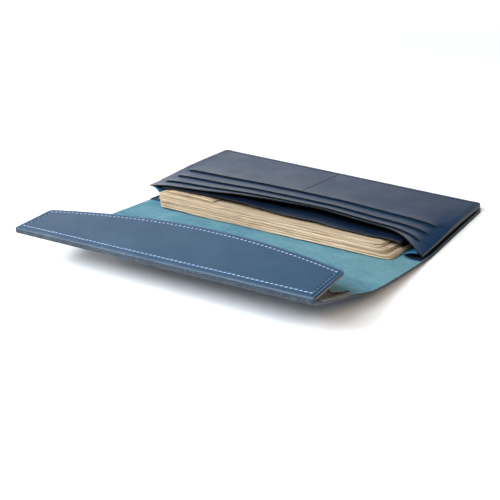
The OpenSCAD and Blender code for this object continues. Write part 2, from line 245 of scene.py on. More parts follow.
def sheet(name, outer, inner, mats, rims, steps=4, sharp=60, parts=None, shaded_behind=()):
    """A closed sheet between two grids of points. rims gives how far each cut edge bulges, at
    both ends of the grids' first direction and then of their second; 0 is a plain hidden end.
    mats are the materials of the outside, the inside and the cut edges. parts, if given, is a
    material for each cell outside, and inside the cells whose outside material is listed in the
    last argument the last material shows: the painted shade of the hollow behind the fold."""
    nx, ny = outer.shape[:2]
    mid, half = (outer + inner) / 2, (outer - inner) / 2
    di, dj = unit(np.gradient(mid, axis=0)), unit(np.gradient(mid, axis=1))
    loop = ([(i, 0) for i in range(nx)] + [(nx - 1, j) for j in range(1, ny)]
            + [(i, ny - 1) for i in range(nx - 2, -1, -1)] + [(0, j) for j in range(ny - 2, 0, -1)])
    ii, jj = np.array(loop).T
    bulge = ((ii == nx - 1) * rims[1] - (ii == 0) * rims[0])[:, None] * di[ii, jj]
    bulge += ((jj == ny - 1) * rims[3] - (jj == 0) * rims[2])[:, None] * dj[ii, jj]
    verts = [outer.reshape(-1, 3), inner.reshape(-1, 3)]
    for k in range(1, steps + 1):
        a = math.pi * k / (steps + 1)
        verts.append(mid[ii, jj] + math.cos(a) * half[ii, jj] + math.sin(a) * bulge)
    n, length = nx * ny, len(loop)
    at_ij = np.arange(n).reshape(nx, ny)
    q = np.stack([at_ij[:-1, :-1], at_ij[1:, :-1], at_ij[1:, 1:], at_ij[:-1, 1:]], -1).reshape(-1, 4)
    faces = [q, q[:, ::-1] + n]
    rings = [at_ij[ii, jj]] + [2 * n + k * length + np.arange(length) for k in range(steps)]
    rings.append(at_ij[ii, jj] + n)
    for a, b in zip(rings[:-1], rings[1:]):
        faces.append(np.stack([a, np.roll(a, -1), np.roll(b, -1), b], -1))
    outside = np.zeros(len(q), int) if parts is None else np.asarray(parts).ravel()
    inside = np.where(np.isin(outside, shaded_behind), len(mats) - 1, 1)
    kinds = np.concatenate([outside, inside, np.full(length * (steps + 1), 2)])
    kinds = np.minimum(kinds, len(mats) - 1)
    along_i = np.cumsum(np.linalg.norm(np.diff(mid, axis=0, prepend=mid[:1]), axis=-1), 0)
    along_j = np.cumsum(np.linalg.norm(np.diff(mid, axis=1, prepend=mid[:, :1]), axis=-1), 1)
    far = np.full((nx, ny), FAR)
    for rim, d in zip(rims, (along_i, along_i[-1] - along_i, along_j, along_j[:, -1:] - along_j)):
        if rim:
            far = np.minimum(far, d)
    edge = np.concatenate([far.ravel(), far.ravel(), np.zeros(length * steps)])
    return make(name, np.concatenate(verts), np.concatenate(faces).tolist(), mats, kinds, edge, sharp)


def thread(path, radius, sides=8):
    """Points and faces of a closed tube along a path; radius is one number for each point."""
    t = unit(np.gradient(path, axis=0))
    a = unit(np.cross(t, [0.13, 0.2, 0.97]))
    b = np.cross(t, a)
    turn = np.arange(sides) * 2 * math.pi / sides
    around = np.cos(turn)[:, None] * a[:, None] + np.sin(turn)[:, None] * b[:, None]
    rings = path[:, None] + radius[:, None, None] * around
    verts = np.concatenate([rings.reshape(-1, 3), path[:1], path[-1:]])
    last = len(path) - 1
    first_tip, last_tip = len(path) * sides, len(path) * sides + 1
    following = [(j + 1) % sides for j in range(sides)]
    faces = [[i * sides + j, i * sides + k, (i + 1) * sides + k, (i + 1) * sides + j]
             for i in range(last) for j, k in enumerate(following)]
    faces += [[first_tip, k, j] for j, k in enumerate(following)]
    faces += [[last_tip, last * sides + j, last * sides + k] for j, k in enumerate(following)]
    return verts, faces


def gather(parts):
    """Joins several pairs of points and faces into one."""
    verts, faces, count = [], [], 0
    for v, f in parts:
        verts.append(v)
        faces += [[i + count for i in face] for face in f]
        count += len(v)
    return np.concatenate(verts), faces


def awl_hole(center, normal, way, size):
    """A shallow oval funnel, with its rim just proud of the leather so that it shows."""
    corners, proud, sunk = 8, 0.07, 0.2
    turn = np.arange(corners) * 2 * math.pi / corners
    rim = (center + normal * (proud + 0.02) + (np.cos(turn) * size[0])[:, None] * way
           + (np.sin(turn) * size[1])[:, None] * np.cross(normal, way))
    verts = np.concatenate([rim, [center + normal * (proud - 0.02)], [center - normal * sunk]])
    pairs = [(j, (j + 1) % corners) for j in range(corners)]
    return verts, [[j, k, corners] for j, k in pairs] + [[k, j, corners + 1] for j, k in pairs]


def stitch_row(points, normals, slant=0.22, long=1.75, r=0.27, high=0.3, hole=(0.42, 0.27)):
    """One stitch on each point of a row, diving into the leather at both ends, and an awl hole
    between each stitch and the next, painted dark as the shade inside it."""
    stitches, holes = [], []
    u = np.linspace(-1, 1, 9)
    for i, (p, n, t) in enumerate(zip(points, normals, unit(np.gradient(points, axis=0)))):
        side = np.cross(n, t)
        way = t * math.cos(slant) + side * math.sin(slant)
        height = high * np.sqrt(np.clip(1 - u ** 2, 0, 1)) - 0.16 + rng.uniform(-0.03, 0.03)
        length = long * rng.uniform(0.93, 1.05)
        bow = 0.07 * np.cos(u * math.pi / 2)
        path = p + way * (u * length / 2)[:, None] + n * height[:, None] + side * bow[:, None]
        stitches.append(thread(path, r * (1 - 0.3 * np.abs(u) ** 3)))
        if i < len(points) - 1:
            holes.append(awl_hole((p + points[i + 1]) / 2, n, way, hole))
    return stitches, holes


# ---- Materials ----

WHITE, BLACK = (1, 1, 1), (0, 0, 0)


def grey(level):
    return (level, level, level)


def shade(color, factor):
    return tuple(min(1, c * factor) for c in color)


class Nodes:
    """A node tree, whose nodes are made with their values, links and settings."""

    def __init__(self, tree):
        self.tree = tree

    def put(self, node, inputs):
        for k, v in inputs.items():
            if isinstance(v, bpy.types.NodeSocket):
                self.tree.links.new(v, node.inputs[k])
            else:
                node.inputs[k].default_value = v

    def node(self, kind, inputs=None, **settings):
        n = self.tree.nodes.new(kind)
        for k, v in settings.items():
            setattr(n, k, v)
        self.put(n, inputs or {})
        return n

    def rescale(self, value, low, high, to_low, to_high):
        """Softly from to_low, where the value is low, to to_high, where it is high."""
        n = self.node("ShaderNodeMapRange", {0: value, 1: low, 2: high, 3: to_low, 4: to_high},
                      interpolation_type="SMOOTHSTEP")
        return n.outputs[0]


class Shader(Nodes):
    """A material whose textures follow the wallet's place at rest, so that they stay on it
    when it moves."""

    def __init__(self, name):
        self.mat = bpy.data.materials.new(name)
        self.mat.use_nodes = True
        super().__init__(self.mat.node_tree)
        self.place = self.node("ShaderNodeAttribute", attribute_name="rest").outputs["Vector"]
        self.edge = self.node("ShaderNodeAttribute", attribute_name="edge").outputs["Fac"]

    def noise(self, scale, detail=4.0, rough=0.55, stretch=WHITE, warp=0.0):
        v = self.node("ShaderNodeVectorMath", {0: self.place, 1: stretch}, operation="MULTIPLY").outputs[0]
        return self.node("ShaderNodeTexNoise", {"Vector": v, "Scale": scale, "Detail": detail,
                                                "Roughness": rough, "Distortion": warp}).outputs["Fac"]

    def cells(self, scale, feature="F1"):
        return self.node("ShaderNodeTexVoronoi", {"Vector": self.place, "Scale": scale},
                         feature=feature).outputs["Distance"]

    def ramp(self, fac, stops):
        n = self.node("ShaderNodeValToRGB", {"Fac": fac})
        while len(n.color_ramp.elements) < len(stops):
            n.color_ramp.elements.new(0.5)
        for e, (p, c) in zip(n.color_ramp.elements, stops):
            e.position = p
            e.color = (*c, 1)
        return n.outputs["Color"]

    def math(self, op, a, b=0.0, clamp=False):
        return self.node("ShaderNodeMath", {0: a, 1: b}, operation=op, use_clamp=clamp).outputs[0]

    def blend(self, a, a_share, b, b_share):
        """The sum of two values by their shares."""
        return self.math("ADD", self.math("MULTIPLY", a, a_share), self.math("MULTIPLY", b, b_share))

    def mix(self, fac, a, b, blend="MIX"):
        a, b = (c if isinstance(c, bpy.types.NodeSocket) else (*c, 1) for c in (a, b))
        n = self.node("ShaderNodeMix", {0: fac, 6: a, 7: b}, data_type="RGBA", blend_type=blend)
        return n.outputs[2]

    def near_edge(self, reach):
        """1 at a cut edge, falling to 0 at that many millimetres from it."""
        return self.math("SUBTRACT", 1.0, self.math("DIVIDE", self.edge, reach), clamp=True)

    def edge_line(self, distance, width, most):
        """A soft line at that distance from the cut edge."""
        away = self.math("ABSOLUTE", self.math("SUBTRACT", self.edge, distance))
        line = self.math("SUBTRACT", 1.0, self.math("DIVIDE", away, width), clamp=True)
        return self.math("MULTIPLY", line, most)

    def bump(self, height, distance, strength=1.0, under=None):
        inputs = {"Height": height, "Distance": distance, "Strength": strength}
        if under is not None:
            inputs["Normal"] = under
        return self.node("ShaderNodeBump", inputs).outputs["Normal"]

    def finish(self, color, rough, normal, **constants):
        inputs = {"Base Color": color, "Roughness": rough, "Normal": normal}
        inputs.update((k.replace("_", " "), v) for k, v in constants.items())
        self.put(self.tree.nodes["Principled BSDF"], inputs)
        return self.mat


def grain_leather(name, tones, rough=0.42, grain=1.0, creased=False, specks=0.0, right_shade=1.0, shade_depths=None):
    """Smooth vegetable-tanned leather: mottled colour from three tones, a fine pebble and pores,
    and darker, polished cut edges. creased adds the line pressed in along the edge, with painted
    shade inside it and a painted highlight on its rim; specks are small light spots over it.
    Of its last two arguments, the first is how much of its red is left at the right end, darkened
    there as painted shade for the sheen that fades towards the right, and the second the two
    depths between which painted shade darkens the leather towards the inside."""
    dark, mid, light = tones
    s = Shader(name)
    tone = s.blend(s.noise(26, 5, 0.6), 0.6, s.noise(320, 5, 0.65), 0.4)
    color = s.ramp(tone, [(0.30, dark), (0.52, mid), (0.74, light)])
    pores = s.ramp(s.cells(1500), [(0.0, (0.72, 0.72, 0.74)), (0.3, WHITE)])
    color = s.mix(0.5, color, s.mix(1.0, color, pores, "MULTIPLY"))
    worn = s.math("MULTIPLY", s.near_edge(1.6), s.noise(90, 3, 0.6))
    color = s.mix(s.math("MULTIPLY", worn, 0.45, clamp=True), color, shade(dark, 0.45))
    # painted shade: the colour darkens towards the right end, standing for the sheen that falls off there
    if right_shade < 1:
        along = s.node("ShaderNodeSeparateXYZ", {0: s.place}).outputs["X"]
        share = s.math("ADD", s.math("DIVIDE", along, 0.2), 0.5)
        right_shade_tint = s.ramp(share, [(0.3, WHITE), (0.9, (right_shade, 0.5 + right_shade / 2, 0.6 + 0.4 * right_shade))])
        color = s.mix(1.0, color, right_shade_tint, "MULTIPLY")
    # painted shade: the leather darkens towards the inside, where the gusset lies in shadow
    if shade_depths:
        inward = s.node("ShaderNodeSeparateXYZ", {0: s.place}).outputs["Y"]
        share = s.math("DIVIDE", s.math("SUBTRACT", inward, shade_depths[0]), shade_depths[1] - shade_depths[0])
        color = s.mix(1.0, color, s.ramp(share, [(0.0, WHITE), (1.0, grey(0.1))]), "MULTIPLY")
    # painted shade inside the pressed line and a painted highlight on its rim
    if creased:
        color = s.mix(s.edge_line(1.3, 0.42, 1.0), color, shade(dark, 0.25))
        color = s.mix(s.edge_line(0.65, 0.32, 0.8), color, shade(light, 3.0))
        color = s.mix(s.edge_line(0.0, 0.30, 1.0), color, shade(dark, 0.2))
    if specks:
        spots = s.ramp(s.noise(1300, 3, 0.7), [(0.56, BLACK), (0.66, grey(specks))])
        color = s.mix(spots, color, shade(light, 3.5))
    r = s.math("ADD", s.math("MULTIPLY", s.noise(60, 4, 0.6), 0.22), rough - 0.11)
    r = s.math("SUBTRACT", r, s.math("MULTIPLY", s.near_edge(1.0), 0.08), clamp=True)
    n = s.bump(s.noise(9, 2, 0.5), 0.0006, 0.22)
    n = s.bump(s.cells(900, "SMOOTH_F1"), 0.00012 * grain, 0.35, n)
    n = s.bump(s.noise(2600, 3, 0.6), 0.00007 * grain, 0.4, n)
    return s.finish(color, r, n, Specular_IOR_Level=0.30)


def suede(name, tones, other, scale=1.0):
    """The flesh side of leather: a short fibrous nap with cloudy colour, from three tones and
    patches of another."""
    low, mid, high = tones
    s = Shader(name)
    cloud = s.blend(s.noise(38, 5, 0.62, warp=0.4), 0.5, s.noise(420 * scale, 6, 0.7, warp=0.6), 0.5)
    color = s.ramp(cloud, [(0.36, low), (0.5, mid), (0.64, high)])
    patches = s.ramp(s.noise(17, 3, 0.5), [(0.42, BLACK), (0.62, grey(0.65))])
    color = s.mix(patches, color, s.mix(0.5, color, other))
    fibre = s.noise(1500 * scale, 6, 0.75, stretch=(1, 0.6, 1), warp=0.9)
    nap = s.ramp(fibre, [(0.3, grey(0.62)), (0.62, grey(1.18))])
    color = s.mix(0.55, color, s.mix(1.0, color, nap, "MULTIPLY"))
    n = s.bump(s.noise(240, 4, 0.6), 0.0003, 0.3)
    n = s.bump(fibre, 0.00022, 0.75, n)
    return s.finish(color, 0.93, n, Specular_IOR_Level=0.15, Sheen_Weight=0.04, Sheen_Roughness=0.6)


def cut_edge(name, dark, light, rough=0.5):
    """A burnished cut edge, with the fine layering of the hide along it."""
    s = Shader(name)
    streaks = s.noise(500, 4, 0.65, stretch=(0.12, 0.12, 3))
    color = s.ramp(s.blend(streaks, 0.7, s.noise(160, 4, 0.6), 0.3), [(0.32, dark), (0.68, light)])
    r = s.math("ADD", s.math("MULTIPLY", streaks, 0.25), rough - 0.12)
    return s.finish(color, r, s.bump(streaks, 0.0002, 0.5), Specular_IOR_Level=0.22)


def twisted_thread(name, dark, light):
    """Waxed thread, lighter on the turns of its strands."""
    s = Shader(name)
    inputs = {"Vector": s.place, "Scale": 900.0, "Distortion": 1.2, "Detail": 2.0}
    wave = s.node("ShaderNodeTexWave", inputs, bands_direction="DIAGONAL").outputs["Fac"]
    color = s.ramp(s.blend(wave, 0.6, s.noise(3000, 3, 0.6), 0.4), [(0.15, dark), (0.7, light)])
    return s.finish(color, 0.65, s.bump(wave, 0.00012, 0.6), Specular_IOR_Level=0.2)


def paper(name):
    """Worn paper, streaked along the edges of its many leaves."""
    s = Shader(name)
    streaks = s.noise(240, 5, 0.6, stretch=(0.25, 0.6, 6))
    color = s.ramp(s.blend(streaks, 0.6, s.noise(45, 4, 0.6), 0.4),
                   [(0.3, (0.23, 0.155, 0.095)), (0.45, (0.40, 0.305, 0.20)), (0.62, (0.50, 0.40, 0.29))])
    worn = s.math("MULTIPLY", s.near_edge(1.5), s.noise(300, 3, 0.6))
    color = s.mix(s.math("MULTIPLY", worn, 0.5, clamp=True), color, (0.45, 0.37, 0.27))
    n = s.bump(s.noise(900, 4, 0.6), 0.0001, 0.4)
    n = s.bump(s.noise(60, 3, 0.5), 0.0004, 0.35, n)
    return s.finish(color, 0.82, n, Specular_IOR_Level=0.3)


# Painted shade for the awl holes: near-black, as the inside of a hole looks
def hole_shade(name):
    s = Shader(name)
    color = s.ramp(s.noise(800, 2), [(0.3, (0.004, 0.006, 0.014)), (0.7, (0.012, 0.016, 0.035))])
    return s.finish(color, 0.8, s.bump(s.noise(1500, 2), 0.0001, 0.3))


# Each leather with its dark, middle and light tones
M_STRIP = grain_leather(
    "navy_strip_leather", ((0.0194, 0.0497, 0.0924), (0.0235, 0.0583, 0.1067), (0.0286, 0.068, 0.121)),
    rough=0.50, grain=1.8, creased=True, right_shade=0.62)
M_FOLD = grain_leather(
    "navy_fold_leather", ((0.0076, 0.0142, 0.0242), (0.0149, 0.025, 0.0384), (0.0334, 0.0483, 0.0668)),
    rough=0.55, grain=3.0, specks=0.5, right_shade=0.75)
# A lighter copy of the navy leather: a painted highlight along the fold's upper corner
M_FOLD_HIGHLIGHT = grain_leather(
    "fold_corner_painted_highlight", ((0.024, 0.046, 0.078), (0.04, 0.066, 0.1), (0.085, 0.115, 0.155)),
    rough=0.36, grain=2.0)
M_PANEL = grain_leather(
    "navy_panel_leather", ((0.0049, 0.0197, 0.0497), (0.0073, 0.0268, 0.0646), (0.0097, 0.0349, 0.0795)),
    rough=0.37, right_shade=0.7)
M_OUTSIDE = grain_leather(
    "navy_outer_leather", ((0.0112, 0.0266, 0.049), (0.0147, 0.0336, 0.0602), (0.0189, 0.0406, 0.07)),
    rough=0.5)
# Its painted shade darkens the gusset from just inside its mouth, where its side lies in shadow
M_BLUE = grain_leather(
    "blue_gusset_leather", ((0.008, 0.055, 0.115), (0.015, 0.085, 0.165), (0.025, 0.12, 0.22)),
    rough=0.45, shade_depths=(-0.044, -0.036))
# Much darker than the other navy leathers: partly its own colour, partly painted shade under the card panel
M_DIVIDER = grain_leather(
    "blue_divider_leather", ((0.0004, 0.0034, 0.0115), (0.0006, 0.0051, 0.0171), (0.001, 0.0077, 0.0234)),
    rough=0.5)
# Near-black painted shade for the insides of the gussets and of the fold
M_HOLLOW_SHADE = grain_leather(
    "hollow_painted_shade", ((0.0024, 0.0048, 0.0108), (0.0048, 0.0096, 0.0204), (0.0072, 0.0144, 0.0288)),
    rough=0.6)
M_TEAL = suede(
    "teal_flesh_side", ((0.0447, 0.1522, 0.212), (0.077, 0.2152, 0.2862), (0.13, 0.2888, 0.3551)),
    other=(0.1144, 0.231, 0.2014))
M_TAUPE = suede(
    "taupe_lining", ((0.098, 0.088, 0.08), (0.14, 0.127, 0.116), (0.19, 0.174, 0.16)),
    other=(0.14, 0.13, 0.12), scale=1.4)
M_EDGE = cut_edge("outer_cut_edge", (0.0033, 0.0035, 0.0035), (0.0119, 0.0119, 0.0109))
M_EDGE_BLUE = cut_edge("navy_cut_edge", (0.0022, 0.0057, 0.0098), (0.0098, 0.0189, 0.028), 0.4)
M_EDGE_PANEL = cut_edge("panel_cut_edge", (0.0019, 0.0028, 0.0035), (0.0084, 0.0098, 0.0109), 0.4)
M_THREAD = twisted_thread("blue_thread", (0.138, 0.1974, 0.3234), (0.2944, 0.376, 0.5292))
M_NAVY_THREAD = twisted_thread("navy_thread", (0.0048, 0.0144, 0.0324), (0.0156, 0.0336, 0.0624))
M_DARK_THREAD = twisted_thread("dark_thread", (0.003, 0.0035, 0.005), (0.016, 0.016, 0.019))
M_BROWN_THREAD = twisted_thread("brown_thread", (0.014, 0.009, 0.006), (0.045, 0.029, 0.021))
M_HOLE = hole_shade("awl_hole")
M_PAPER = paper("note_paper")


# ---- Outer leather: body, spine and flap ----

def ease_columns(half, n):
    """Columns from -half to half, closer together at the two ends."""
    t = np.linspace(-1, 1, n)
    return half * (0.82 * t + 0.18 * np.sin(t * math.pi / 2) ** 3)


def outer_leather(name, s_from, s_to, step, rear=False):
    """A stretch of the outer leather; rear gives it the rounded corners of the sewn edge."""
    ss = spaced(s_from, s_to, step)
    x, s = grid(ease_columns(OUT - CUT, 90), ss)
    x = x * taper(s)
    if rear:
        first = np.maximum(s[:, :1], s_from + corner(x[:, :1], OUT, 3.0))
        s = s_to + (first - s_to) * np.linspace(1, 0, len(ss))
    z = rise(x, s)
    return sheet(name, at(x, -s, z + OUTER_T), at(x, -s, z), [M_TEAL, M_OUTSIDE, M_EDGE],
                 (CUT, CUT, 0.25 if rear else 0, 0), 5, sharp=50)


body_leather = outer_leather("outer_leather_body", -DEPTH + 0.25, JOIN_ONE, 1.5, rear=True)
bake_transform(body_leather)
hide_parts("outer_back")
flap_leather = outer_leather("outer_leather_flap", JOIN_ONE, JOIN_TWO, 1.1)
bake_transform(flap_leather)
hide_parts("spine_leather")


# ---- The flap's front, folded back as the strip ----

def bezier(p0, p1, p2, p3, n):
    """A list of n - 1 rows along a curve, without its first."""
    t = np.linspace(0, 1, n)[1:, None, None]
    return list((1 - t) ** 3 * p0 + 3 * (1 - t) ** 2 * t * p1 + 3 * (1 - t) * t * t * p2 + t ** 3 * p3)


def outline_distance(x, y):
    """Distance inside the strip's outline, with its rounded rear corners."""
    side, back = STRIP - np.abs(x), strip_rear(x, r=0.001) - y
    dx, dy = (np.clip(STRIP_CORNER - d, 0, STRIP_CORNER) for d in (side, back))
    return np.where((dx > 0) & (dy > 0), STRIP_CORNER - np.hypot(dx, dy), np.minimum(side, back))


def strip_relief(x, y):
    """The creased line along the edge, the channel that the stitches lie in, the slight swell
    between them and the edge's rounding."""
    d = np.minimum(outline_distance(x, y), y + REACH - 0.2)
    crease = -0.16 * np.exp(-((d - 1.35) / 0.3) ** 2)
    channel = -0.14 * np.exp(-((d - INSET) / 0.5) ** 2)
    swell = 0.10 * np.exp(-((d - 2.4) / 0.45) ** 2)
    rounding = -0.10 * np.clip(1 - d / 1.2, 0, 1)
    return crease + channel + swell + rounding


def flap_end_rows(xs, half):
    """Rows of the flap's last stretch, widening from the strip's columns to the flap's."""
    outer, inner = [], []
    for s in spaced(JOIN_TWO, ROUND_FROM, 1.4):
        wide = xs * taper(s) * (OUT - CUT) / half
        z = rise(wide, s)
        outer.append(at(wide, -s, z))
        inner.append(at(wide, -s, z + OUTER_T))
    return outer, inner


def fold_rows(xs):
    """Rows round the front fold: up its face, over its upper corner and on to the strip, and as
    many inside. The third result is how many of them are on the upper corner."""
    def row(y, z):
        return at(xs, -REACH + y, z)

    start, face = REACH - ROUND_FROM, 0.02
    low = rise(xs, ROUND_FROM)
    slope = rise(xs, ROUND_FROM + 0.5) - rise(xs, ROUND_FROM - 0.5)
    top = strip_top(xs, -REACH + NOSE)
    outer = bezier(row(start, low), row(start - 2.2, low + 2.2 * slope), row(-face, low + 1.5),
                   row(face, low + 2.6), 7)
    outer += bezier(outer[-1], row(face, low + 3.2), row(face, top - 1.6), row(face, top - 0.9), 4)
    upper = bezier(outer[-1], row(face, top - 0.35), row(0.3, top - 0.02), row(NOSE, top), 6)
    outer += upper
    half_way = row(1.7, (low + top) / 2 + 0.35)
    inner = bezier(row(start, low + OUTER_T), row(start - 1.6, low + OUTER_T + 1.6 * slope),
                   half_way - [0, 0, 0.5], half_way, 8)
    inner += bezier(half_way, half_way + [0, 0, 0.45], row(2.2, top - OUTER_T + 0.02),
                    row(UNDER, strip_top(xs, -REACH + UNDER) - OUTER_T), len(outer) - len(inner) + 1)
    return outer, inner, len(upper)


def strip_rows(xs):
    """Rows of the strip from the fold to its rear edge, close together along both for the
    crease and the channel of the stitches."""
    near = 0.25 + 0.3 * np.arange(14)
    first, rear = -REACH + NOSE, strip_rear(xs) - CUT
    a, b = first + near[-1], rear - near[-1]
    rows = [first + d for d in near] + [a + (b - a) * t for t in np.linspace(0, 1, 22)[1:-1]]
    rows += [rear - d for d in near[::-1]] + [rear]
    outer, inner = [], []
    for k, y in enumerate(rows):
        y = y * np.ones_like(xs)
        outer.append(at(xs, y, strip_top(xs, y) + strip_relief(xs, y)))
        y = np.maximum(y, -REACH + UNDER + 0.02 * k)
        inner.append(at(xs, y, strip_top(xs, y) - OUTER_T))
    return outer, inner


def front_leather():
    half = STRIP - CUT
    ends = np.array([0, 0.35, 0.7, 1.0, 1.25, 1.5, 1.8, 2.2, 2.6, 3.0, 3.3, 3.6, 3.9, 4.3, 4.8, 5.5])
    xs = np.concatenate([-half + ends, spaced(-half + 7, half - 7, 1.4), (half - ends)[::-1]])
    flap_outer, flap_inner = flap_end_rows(xs, half)
    fold_outer, fold_inner, upper = fold_rows(xs)
    strip_outer, strip_inner = strip_rows(xs)
    outer = np.stack(flap_outer + fold_outer + strip_outer, 1)
    inner = np.stack(flap_inner + fold_inner + strip_inner, 1)
    mats = [M_STRIP, M_TEAL, M_EDGE_BLUE, M_FOLD, M_OUTSIDE, M_FOLD_HIGHLIGHT, M_HOLLOW_SHADE]
    runs = {M_OUTSIDE: len(flap_outer) - 1, M_FOLD: len(fold_outer) - upper, M_FOLD_HIGHLIGHT: upper,
            M_STRIP: len(strip_outer)}
    kinds = np.repeat([mats.index(m) for m in runs], list(runs.values()))
    kinds = np.tile(kinds, (len(xs) - 1, 1))
    return sheet("outer_leather_front", outer, inner, mats, (CUT, CUT, 0, CUT), 5,
                 parts=kinds, shaded_behind=(mats.index(M_FOLD), mats.index(M_FOLD_HIGHLIGHT)))


front = front_leather()
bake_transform(front)
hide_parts("flap_leather", "front_fold", "strip_panel")


def strip_lining():
    half, gap = STRIP - 0.55, 0.05
    ends = np.linspace(0, 5, 14)
    xs = np.concatenate([-half + ends, spaced(-half + 7, half - 7, 4.0), (half - ends)[::-1]])
    share = np.concatenate([np.linspace(0, 0.85, 10), np.linspace(0.87, 1, 6)])
    x, share = grid(xs, share)
    front_y, rear_y = -REACH + UNDER + 0.2, strip_rear(x) - 0.5
    y = front_y + (rear_y - front_y) * share
    z = strip_top(x, y) - OUTER_T - gap
    return sheet("strip_lining_leather", at(x, y, z), at(x, y, z - LINING_T), [M_TAUPE],
                 (0.25, 0.25, 0, 0.25))


lining = strip_lining()
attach(lining, "strip")
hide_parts("strip_lining")


def normals_on(height, points, e=0.2):
    """Normals at those points of the surface whose height is height(x, y)."""
    x, y = points[:, 0], points[:, 1]
    dx = (height(x + e, y) - height(x - e, y)) / (2 * e)
    dy = (height(x, y + e) - height(x, y - e)) / (2 * e)
    return unit(at(-dx, -dy, 1.0))


def even(points, pitch):
    """Points spaced evenly along a polyline."""
    d = np.concatenate([[0], np.cumsum(np.linalg.norm(np.diff(points, axis=0), axis=1))])
    n = max(2, int(round(d[-1] / pitch)) + 1)
    at_d = np.linspace(0, d[-1], n)
    return np.stack([np.interp(at_d, d, points[:, k]) for k in range(3)], -1)


def strip_threads():
    def row(x, y):
        return even(at(x, y, strip_top(x, y) - 0.13), PITCH)

    edge_x, front_y = STRIP - INSET, -REACH + INSET + 0.4
    xs = np.linspace(-edge_x, edge_x, 200)
    rear_y = strip_rear(xs * 0.999, 0.001) - INSET
    rows = [row(xs, front_y), row(edge_x, np.linspace(front_y, rear_y[-1], 40)),
            row(xs[::-1], rear_y[::-1]), row(-edge_x, np.linspace(rear_y[0], front_y, 40))]
    # Length, radius and height of the stitches and size of the awl holes in each row: the long
    # rows were pulled less tight than the ends
    looks = [(2.15, 0.28, 0.34, (0.40, 0.34)), (1.15, 0.18, 0.06, (1.0, 0.62)),
             (1.75, 0.28, 0.32, (0.52, 0.38)), (1.35, 0.22, 0.20, (0.62, 0.40))]
    stitches, holes = [], []
    for k, pts in enumerate(rows):
        if k % 2:
            # the corners' stitches belong to the long rows
            pts = pts[1:-1]
        new_stitches, new_holes = stitch_row(pts, normals_on(strip_top, pts), 0.24, *looks[k])
        stitches += new_stitches
        holes += new_holes
    return stitches, holes


strip_stitches, strip_holes = strip_threads()
stitches = make("strip_thread", *gather(strip_stitches), [M_THREAD])
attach(stitches, "strip")
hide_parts("strip_stitching")
holes = make("strip_awl_holes", *gather(strip_holes), [M_HOLE], sharp=30)
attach(holes, "strip")


# ---- Gussets ----

def folded_gusset(name, side, stations, edge_x, fold_x, mats, thick=0.5, mid_share=0.5, flange=0.0):
    """A V of thin leather folded inwards; stations are y, the heights of its two edges, and the
    share of its full depth that it has there. flange turns its lower edge out flat."""
    rows_o, rows_i = [], []
    for y, low, high, depth in stations:
        tall = high - low
        mid, r = low + tall * mid_share, min(0.8, tall * 0.24)
        round_x = 1.2 * depth
        fold = edge_x - (edge_x - fold_x) * depth + round_x
        lower, upper = np.array([edge_x, low]), np.array([edge_x, high])
        fold_low, fold_high = np.array([fold, mid - r]), np.array([fold, mid + r])
        leaf = np.linspace(0, 1, 9)[:, None]
        bow = 0.12 * tall * np.sin(math.pi * leaf) * [0, 1]
        turn = np.linspace(0, math.pi, 9)[1:-1]
        path = np.concatenate([
            lower + (fold_low - lower) * leaf - bow,
            np.stack([fold - round_x * np.sin(turn), mid - r * np.cos(turn)], -1),
            fold_high + (upper - fold_high) * leaf + bow])
        if flange:
            out = np.array([1, 0.8, 0.6, 0.4, 0.25, 0.12])[:, None]
            path = np.concatenate([lower + out * [flange, 0.04], path])
        t = unit(np.gradient(path, axis=0))
        half = np.stack([-t[:, 1], t[:, 0]], -1) * min(thick / 2, tall * 0.2)
        rows_o.append(at(side * (path + half)[:, 0], y, (path + half)[:, 1]))
        rows_i.append(at(side * (path - half)[:, 0], y, (path - half)[:, 1]))
    return sheet(name, np.stack(rows_o), np.stack(rows_i), mats, (0.12, 0.12, 0.1, 0.1), 3)


def strip_gusset(side, label):
    """The gusset at one end of the coin pocket, creased flat towards its rear end."""
    edge_x, stations = STRIP - 3.2, []
    for y in spaced(-REACH + 8.0, -GUSSET_FROM, 1.2):
        low = float(rise(side * edge_x, -y)) + OUTER_T + 0.3
        under = float(strip_top(side * edge_x, y)) - OUTER_T - 1.1
        creased = low + 0.5 + 0.12 * (-GUSSET_FROM - y) + 8.5 * float(smooth((-98.0 - y) / 9.0))
        high = min(under, creased)
        stations.append((y, low, high, 0.25 + 0.75 * min(1.0, (high - low) / 12)))
    return folded_gusset(f"strip_gusset_leather_{label}", side, stations, edge_x, edge_x - 6.5,
                         [M_TAUPE], flange=3.3)


def knot(x, y, z, size, turn):
    u = np.linspace(-1, 1, 9)
    reach = size * u
    path = at(x + reach * math.cos(turn), y + reach * math.sin(turn), z + 0.45 * np.sqrt(1 - u ** 2))
    return thread(path, 0.34 * (1 - 0.35 * u ** 4))


def gusset_tack(side, label):
    """The knots that hold the gusset's rear end."""
    x, y = side * (STRIP - 3.4), -GUSSET_FROM - 0.4
    z = float(rise(x, -y)) + OUTER_T + 0.35
    knots = [knot(x + side * 0.4, y + 1.3, z, 1.1, 0.2), knot(x, y - 1.0, z + 0.5, 0.9, 1.75),
             knot(x - side * 0.4, y - 4.6, z + 2.1, 1.3, 1.5),
             knot(x - side * 0.5, y - 8.2, z + 3.2, 0.7, 1.5)]
    return make(f"gusset_tack_thread_{label}", *gather(knots), [M_DARK_THREAD])


def gusset_seam_and_shadow(side, label):
    """The thread that leads from the knots along the gusset: partly a real seam, partly a painted
    shadow along the edge of the gusset's leaf.
    """
    ys = np.linspace(-GUSSET_FROM - 1.4, -101.5, 24)
    z = rise(side * (STRIP - 3.2), -ys) + OUTER_T + 0.66
    path = at(side * (STRIP - 2.95), ys, z)
    return make(f"gusset_seam_thread_and_shadow_{label}", *thread(path, np.full(len(ys), 0.3)), [M_BROWN_THREAD])


